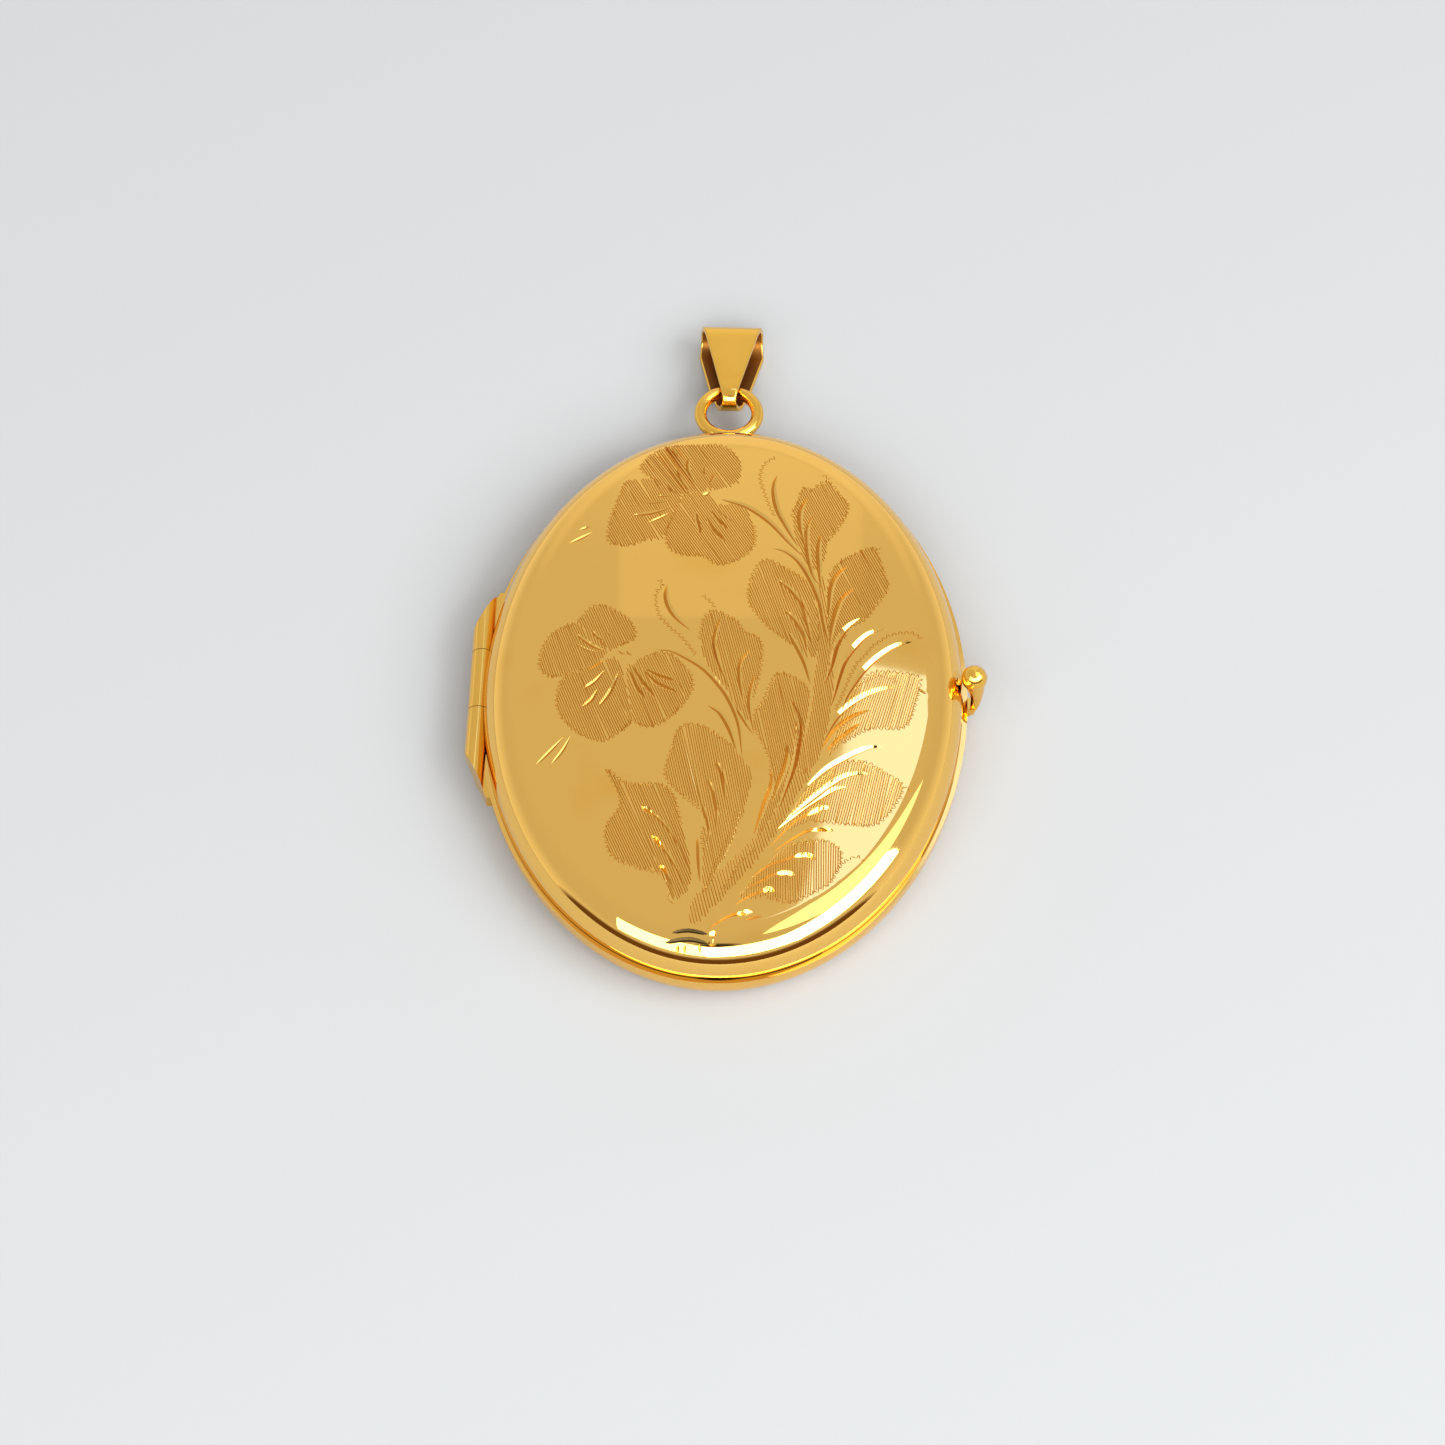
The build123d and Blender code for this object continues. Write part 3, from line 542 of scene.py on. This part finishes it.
def engrave():
    """The whole picture on the cover."""
    cuts = Engraving()
    cuts.hatch(spline(TRUNK, closed=True), TRUNK_DIRECTION)
    cuts.hatch(spline(STEM_FOOT, closed=True), FOOT_DIRECTION, FOOT_PITCH)
    for outline, edge_points, direction in PETALS + LEAVES:
        cuts.hatch(spline(outline, closed=True), direction)
        cuts.wriggle(outline[:edge_points])
    for width, curves in CUTS.items():
        for curve in curves:
            cuts.stroke(curve, width, slope=0.22, left_finish_and_shade=BRIGHT, right_finish_and_shade=SHADED)
    for curve in LONG_CUTS:
        cuts.stroke(curve, 0.50, slope=0.42, left_finish_and_shade=SHADED, right_finish_and_shade=BRIGHT)
    for curve in TIPPED_CUTS:
        cuts.stroke(curve, 0.30, slope=0.22, left_finish_and_shade=BRIGHT, right_finish_and_shade=SHADED)
        cuts.scoop(curve, slope=0.50, share=0.34)
    for curve in BANDS:
        path = spline(curve)
        shape = np.sin(math.pi * np.linspace(0, 1, len(path))).clip(0) ** 0.3
        cuts.groove(path, BAND_SIDE * shape, BAND_SIDE * shape, BAND_DEPTH * shape, DARK_REFLECTION, DARK_REFLECTION)
        x, y = curve[0]
        cuts.scoop([(x + 0.6, y - 0.05), (x + 0.3, y), (x, y)], slope=0.40)
    for line in DOTTED_LINES:
        cuts.wriggle(line, DOT_SWING, BRIGHT)
    for line in WRIGGLES:
        cuts.wriggle(line)
    return cuts


# ---- the engraved cover's mesh ---------------------------------------------------------------
RING_POINTS = 240
TURNS = np.linspace(0, 2 * math.pi, RING_POINTS, endpoint=False)
SAME_POINT = 1e-5                             # plan points nearer than this are joined
LEAST_CUT = 0.001                             # a face less deep than this is plain skin
CREASE, PLAIN_LIMIT = 20, 8                   # degrees: a sharp edge, and a face still level


def engraved_top(cuts):
    """The outside's points and faces, its edge points in order, and each face's colour, from plain gold and the
    painted shade and reflection colours.

    One flat triangulation holds rings of plain points and every groove; its points are then
    lifted to the skin and sunk into the grooves.
    """
    roll_angles = np.radians(np.linspace(90, 0, 15))
    rings = [outline_at(TURNS, ROLL * (1 - math.sin(angle))) for angle in roll_angles]
    rings += [outline_at(TURNS[::4], ROLL) * share for share in (0.85, 0.7, 0.55, 0.4, 0.25, 0.1)]
    ring_count = sum(len(ring) for ring in rings)
    edges = [(i, (i + 1) % RING_POINTS) for i in range(RING_POINTS)]
    edges += [(a + ring_count, b + ring_count) for a, b in cuts.edges]
    plan, _, triangles, sources, _, _ = delaunay_2d_cdt(
        [Vector(point) for point in np.concatenate(rings + [np.array(cuts.points)])],
        edges, [], 0, SAME_POINT)
    plan = np.array([tuple(point) for point in plan])
    given = np.concatenate([np.zeros(ring_count), np.array(cuts.depths)])
    depths = np.array([max([given[i] for i in source], default=0.0) for source in sources])
    depths = np.maximum(depths, cuts.depth_under(plan)[0])
    points = np.column_stack([plan, skin(plan[:, 0], plan[:, 1])[0] - depths])
    faces = np.array(triangles)
    a, b, c = plan[faces[0]]
    if (b - a)[0] * (c - a)[1] - (b - a)[1] * (c - a)[0] < 0:
        faces = faces[:, ::-1]
    depth, finish_and_shade = cuts.depth_under(plan[faces].mean(axis=1))
    finish_and_shade = np.where(depth > LEAST_CUT, finish_and_shade, BRIGHT)
    edge_points = {i: index for index, source in enumerate(sources) for i in source
                   if i < RING_POINTS}
    border = [edge_points[i] for i in range(RING_POINTS)]
    return points.tolist(), faces.tolist(), border, finish_and_shade


def close_shell(points, faces, border):
    """Adds the cover's foot and its smooth inside under the engraved outside."""
    def add_ring(ring, height):
        first = len(points)
        heights = np.broadcast_to(height, len(ring))
        points.extend((x, y, z) for (x, y), z in zip(ring, heights))
        return list(range(first, len(points)))

    def join(upper, lower):
        for i in range(RING_POINTS):
            j = (i + 1) % RING_POINTS
            faces.append((upper[i], lower[i], lower[j], upper[j]))

    rings = [outline_at(TURNS, WALL + (ROLL - WALL) * (1 - math.cos(math.radians(angle))))
             for angle in range(0, 91, 10)]
    rings += [outline_at(TURNS, ROLL) * share for share in (0.75, 0.5, 0.25)]
    foot = add_ring(outline_at(TURNS), EDGE_Z)
    join(border, foot)
    last = add_ring(rings[0], EDGE_Z)
    join(foot, last)
    for ring in rings:
        row = add_ring(ring, skin(ring[:, 0], ring[:, 1], WALL)[0])
        join(last, row)
        last = row
    points.append((0, 0, TOP_Z - WALL))
    for i in range(RING_POINTS):
        faces.append((last[(i + 1) % RING_POINTS], last[i], len(points) - 1))


def prism(name, profile, low, high, place):
    """A closed prism over a profile; place turns (u, v, height) into a point."""
    count = len(profile)
    points = [place(u, v, height) for height in (low, high) for u, v in profile]
    faces = [tuple(range(count))[::-1], tuple(range(count, 2 * count))]
    faces += [(i, (i + 1) % count, (i + 1) % count + count, i + count) for i in range(count)]
    return mesh_object(name, points, faces)


def mesh_object(name, points, faces):
    """A new object from points in millimetres."""
    mesh = bpy.data.meshes.new(name)
    mesh.from_pydata([tuple(value * MM for value in point) for point in points], [], faces)
    made = bpy.data.objects.new(name, mesh)
    bpy.context.scene.collection.objects.link(made)
    return made


def arc(x, y, radius, start, end, count):
    """Points on an arc, in degrees."""
    return [(x + radius * math.cos(t), y + radius * math.sin(t))
            for t in np.radians(np.linspace(start, end, count))]


def cut_away(piece, tool):
    """Takes the tool's shape out of a piece, and the tool out of the scene."""
    change = piece.modifiers.new("cut", "BOOLEAN")
    change.operation = "DIFFERENCE"
    change.object = tool
    change.solver = "MANIFOLD"
    result = piece.evaluated_get(bpy.context.evaluated_depsgraph_get())
    mesh = bpy.data.meshes.new_from_object(result)
    piece.modifiers.clear()
    piece.data = mesh
    bpy.data.objects.remove(tool)


def cut_bite(piece):
    """The notch in the front cover's edge that the catch stands in."""
    profile = arc(BITE_X, CATCH_Y, BITE_RADIUS, 90, 270, 33)
    profile += [(HALF_X + 3, CATCH_Y - BITE_RADIUS), (HALF_X + 3, CATCH_Y + BITE_RADIUS)]
    cut_away(piece, prism("bite", profile, EDGE_Z - 1, TOP_Z + 1, lambda x, y, z: (x, y, z)))


def cut_hinge_groove(piece, radius, low, high):
    """A round groove along the hinge's axis."""
    profile = arc(HINGE_X, HINGE_Z, radius, 0, 360, 65)[:-1]
    cut_away(piece, prism("groove", profile, low, high, lambda x, z, y: (x, y, z)))


def smooth_skin(mesh):
    """Gives the outside its exact normals, so that its reflections run true past the cuts.

    A face gets them if it lies level with the skin at all its corners.
    """
    mesh.set_sharp_from_angle(angle=math.radians(CREASE))
    corners = np.zeros(len(mesh.loops) * 3, np.float32)
    mesh.corner_normals.foreach_get("vector", corners)
    corners = corners.reshape(-1, 3)
    points = np.zeros(len(mesh.vertices) * 3, np.float32)
    mesh.vertices.foreach_get("co", points)
    normals = skin_normal(points.reshape(-1, 3).astype(float) / MM)
    corner_point = np.zeros(len(mesh.loops), np.int32)
    mesh.loops.foreach_get("vertex_index", corner_point)
    first_corner = np.zeros(len(mesh.polygons), np.int32)
    mesh.polygons.foreach_get("loop_start", first_corner)
    corner_count = np.diff(np.append(first_corner, len(corner_point)))
    facing = np.zeros(len(mesh.polygons) * 3, np.float32)
    mesh.polygons.foreach_get("normal", facing)
    facing = np.repeat(facing.reshape(-1, 3), corner_count, axis=0)
    level = (facing * normals[corner_point]).sum(axis=1) > math.cos(math.radians(PLAIN_LIMIT))
    plain = np.repeat(np.logical_and.reduceat(level, first_corner), corner_count)
    corners[plain] = normals[corner_point[plain]]
    mesh.normals_split_custom_set(corners.tolist())


def engraved_cover():
    """The front cover: a thin engraved shell, with room for the catch and the hinge."""
    points, faces, border, finishes_and_shades = engraved_top(engrave())
    close_shell(points, faces, border)
    cover = mesh_object("engraved_cover", points, faces)
    # plain gold, then the cut walls' painted soft shade, painted shade and painted dark reflection
    for finish_and_shade in (case_gold, engraved_soft_shade_gold, shaded_gold, dark_reflection_gold):
        cover.data.materials.append(finish_and_shade)
    cover.data.polygons.foreach_set(
        "material_index", np.append(finishes_and_shades, np.zeros(len(faces) - len(finishes_and_shades), int)))
    knuckle_low, knuckle_high = (corner.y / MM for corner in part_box("hinge_knuckle_middle"))
    hinge_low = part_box("hinge_knuckle_bottom")[0].y / MM
    hinge_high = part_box("hinge_knuckle_top")[1].y / MM
    cut_bite(cover)
    cut_hinge_groove(cover, HINGE_RADIUS, knuckle_low - KNUCKLE_GAP, knuckle_high + KNUCKLE_GAP)
    cut_hinge_groove(cover, GROOVE_RADIUS, hinge_low, knuckle_low)
    cut_hinge_groove(cover, GROOVE_RADIUS, knuckle_high, hinge_high)
    smooth_skin(cover.data)
    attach(cover, "front_half")
    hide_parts("front_cover")


engraved_cover()


# ---- the bail -----------------------------------------------------------------------------
BAIL_TIP, BAIL_FOLD = -0.6, 5.2               # the bends' centres, along the strip from the wire
TIP_RADIUS, FOLD_RADIUS = 1.08, 1.55
BAIL_ENDS = (BAIL_TIP - TIP_RADIUS, BAIL_FOLD + FOLD_RADIUS)
BAIL_SHEET, BAIL_EDGE = 0.4, 0.12             # the strip's thickness, and its edges' rounding
BAIL_LIFT = 0.02                              # between the lying bail and the table


def bail_stations():
    """The side view, once round: each station's bend centre, radius and angle.

    It runs from the front plate over the fold, along the back and round the tip, which hangs
    on the wire.
    """
    lean = math.asin((FOLD_RADIUS - TIP_RADIUS) / (BAIL_FOLD - BAIL_TIP))
    quarter = math.pi / 2 + lean
    back_line = [(BAIL_FOLD + (BAIL_TIP - BAIL_FOLD) * t,
                  FOLD_RADIUS + (TIP_RADIUS - FOLD_RADIUS) * t, -quarter)
                 for t in np.linspace(0, 1, 12)[1:-1]]
    stations = [(BAIL_FOLD, FOLD_RADIUS, angle) for angle in np.linspace(quarter, -quarter, 29)]
    stations += back_line
    stations += [(BAIL_TIP, TIP_RADIUS, angle)
                 for angle in np.linspace(2 * math.pi - quarter, quarter, 21)]
    stations += [(s, radius, quarter) for s, radius, _ in back_line[::-1]]
    return stations


def bail_section(half):
    """The strip's rounded section as (across, depth) points, for a half width."""
    corner = [(BAIL_EDGE * (1 - math.cos(t)), BAIL_EDGE * (1 - math.sin(t)))
              for t in np.radians(np.linspace(0, 90, 5))]
    row = [(-half + side, depth) for side, depth in corner[::-1]]
    row += [(-half + side, BAIL_SHEET - depth) for side, depth in corner]
    inner_face = len(row) - 1
    return row + [(-v, depth) for v, depth in row[::-1]], inner_face


def make_bail():
    """The folded strip: a narrow front plate, a wider back one, and an unpolished inside painted dark with the
    fold's shade.
    """
    axis = Vector(joints["bail_swing"]["pos_m"]) / MM
    slope = math.asin((axis.z - FOLD_RADIUS - BAIL_LIFT) / BAIL_FOLD)
    along = Vector((0, math.cos(slope), -math.sin(slope)))
    up = Vector((0, math.sin(slope), math.cos(slope)))
    points = []
    for s, radius, angle in bail_stations():
        normal = along * math.cos(angle) + up * math.sin(angle)
        at = s + radius * math.cos(angle)
        front = np.interp(at, BAIL_ENDS, (0.45, 2.42))
        back = np.interp(at, (BAIL_ENDS[0], 0.9, BAIL_FOLD, BAIL_ENDS[1]),
                         (0.75, 1.6, 2.5, 2.42))
        share = 0.5 - 0.5 * math.sin(max(-1, min(1, math.sin(angle) * 1.2)) * math.pi / 2)
        middle = axis + along * s + normal * radius
        row, inner_face = bail_section(front + (back - front) * share)
        points += [middle - normal * depth + Vector((v, 0, 0)) for v, depth in row]
    width = len(row)
    faces = []
    for i in range(0, len(points), width):
        for k in range(width):
            a, b = i + k, i + (k + 1) % width
            faces.append((a, b, (b + width) % len(points), (a + width) % len(points)))
    bail = mesh_object("bail_strip", points, faces)
    bail.data.materials.append(fitting_gold)
    bail.data.materials.append(dull_shaded_gold)
    bail.data.polygons.foreach_set(
        "material_index", [int(i % width == inner_face) for i in range(len(faces))])
    bail.data.set_sharp_from_angle(angle=math.radians(50))
    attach(bail, "bail")
    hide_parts("bail")


make_bail()


# ---- floor, lights and camera --------------------------------------------------------------
def make_floor():
    """A plain pale floor, a hair's breadth under the locket."""
    half = 1500
    floor = mesh_object("floor", [(-half, -half, 0), (half, -half, 0), (half, half, 0),
                                  (-half, half, 0)], [(0, 1, 2, 3)])
    floor.location.z = -0.01 * MM
    floor.data.materials.append(shader("floor_white", (0.37, 0.36, 0.355), 0.0, 0.8)[0])


def toward(azimuth, elevation):
    """The direction at a compass angle (0 is +Y, 90 is +X) and a height, in degrees."""
    a, e = math.radians(azimuth), math.radians(elevation)
    return Vector((math.sin(a) * math.cos(e), math.cos(a) * math.cos(e), math.sin(e)))


def make_world():
    """The studio that the gold mirrors: one colour, with soft-edged patches laid over it."""
    world = bpy.data.worlds.new("studio")
    bpy.context.scene.world = world
    world.use_nodes = True
    tree = world.node_tree
    backdrop = tree.nodes["Background"]
    place = node(tree, "ShaderNodeTexCoord")
    colour = None
    for direction, inner, outer, tint in WORLD_PATCHES:
        dot = node(tree, "ShaderNodeVectorMath", operation="DOT_PRODUCT")
        tree.links.new(place.outputs["Generated"], dot.inputs[0])
        dot.inputs[1].default_value = direction
        share = mapped(tree, dot.outputs["Value"], math.cos(math.radians(outer)),
                       math.cos(math.radians(inner)), 0, 1)
        mix = node(tree, "ShaderNodeMix", data_type="RGBA")
        mix.inputs["A"].default_value = (*WORLD_COLOUR, 1)
        mix.inputs["B"].default_value = (*tint, 1)
        tree.links.new(share, mix.inputs["Factor"])
        if colour:
            tree.links.new(colour, mix.inputs["A"])
        colour = mix.outputs["Result"]
    tree.links.new(colour, backdrop.inputs["Color"])


def softbox(name, azimuth, elevation, distance, size, radiance, colour=(1, 1, 1)):
    """A rectangular light aimed at the locket; sizes in metres."""
    data = bpy.data.lights.new(name, "AREA")
    data.shape = "RECTANGLE"
    data.size, data.size_y = size
    data.color = colour
    data.energy = radiance * size[0] * size[1] * math.pi
    lamp = bpy.data.objects.new(name, data)
    bpy.context.scene.collection.objects.link(lamp)
    lamp.location = toward(azimuth, elevation) * distance
    lamp.rotation_euler = toward(azimuth, elevation).to_track_quat("Z", "Y").to_euler()


# The camera, in degrees and metres: its height, its turn from straight in front of the
# locket's foot, its distance, and the point that it looks at.
CAMERA_ELEVATION, CAMERA_AZIMUTH, CAMERA_DISTANCE = 54.8, 1.75, 0.3515
AIM = Vector((-0.00006, -0.00018, 0))
TO_CAMERA = toward(180 - CAMERA_AZIMUTH, CAMERA_ELEVATION)


def make_camera():
    """The camera at the photograph's angle."""
    data = bpy.data.cameras.new("camera")
    data.lens = 118.0
    data.sensor_width = 36.0
    data.clip_start = 0.01
    camera = bpy.data.objects.new("camera", data)
    bpy.context.scene.collection.objects.link(camera)
    camera.location = AIM + TO_CAMERA * CAMERA_DISTANCE
    camera.rotation_euler = TO_CAMERA.to_track_quat("Z", "Y").to_euler()
    bpy.context.scene.camera = camera


# The studio's colour, then its patches: direction, inner and outer radius in degrees, colour.
# In order: what the flat face mirrors, the floor and low walls, the wall behind, a dark band
# low on the camera's side, and the camera itself.
WORLD_COLOUR = (0.70, 0.69, 0.66)
WORLD_PATCHES = [
    (toward(0, 58), 20, 45, (0.74, 0.72, 0.68)),
    (Vector((0, 0, -1)), 95, 118, (0.95, 0.94, 0.91)),
    (toward(0, 24), 14, 27, (0.98, 0.96, 0.92)),
    *[(toward(azimuth, 0), 12, 18, (0.16, 0.08, 0.03)) for azimuth in range(120, 245, 12)],
    (TO_CAMERA, 5, 10, (0.05, 0.05, 0.05)),
]
COOL_WHITE = (0.88, 0.95, 1.0)                # the colour of the softboxes
make_floor()
make_world()
for name, azimuth, radiance in (("front_left", 206, 4.5), ("front", 160, 6.5),
                                ("front_right", 114, 7.5)):
    softbox(name + "_softbox", azimuth, 38, 0.9, (0.76, 0.46), radiance, COOL_WHITE)
softbox("key_softbox", 82, 62, 1.0, (0.6, 0.6), 1.6, COOL_WHITE)
softbox("panel", 13.5, 59.5, 0.9, (0.155, 0.17), 2.3, (0.2, 0.38, 1.0))
softbox("overhead_panel", -1, 49.5, 0.9, (0.107, 0.094), 0.08)
make_camera()
bpy.context.scene.view_settings.view_transform = "Standard"
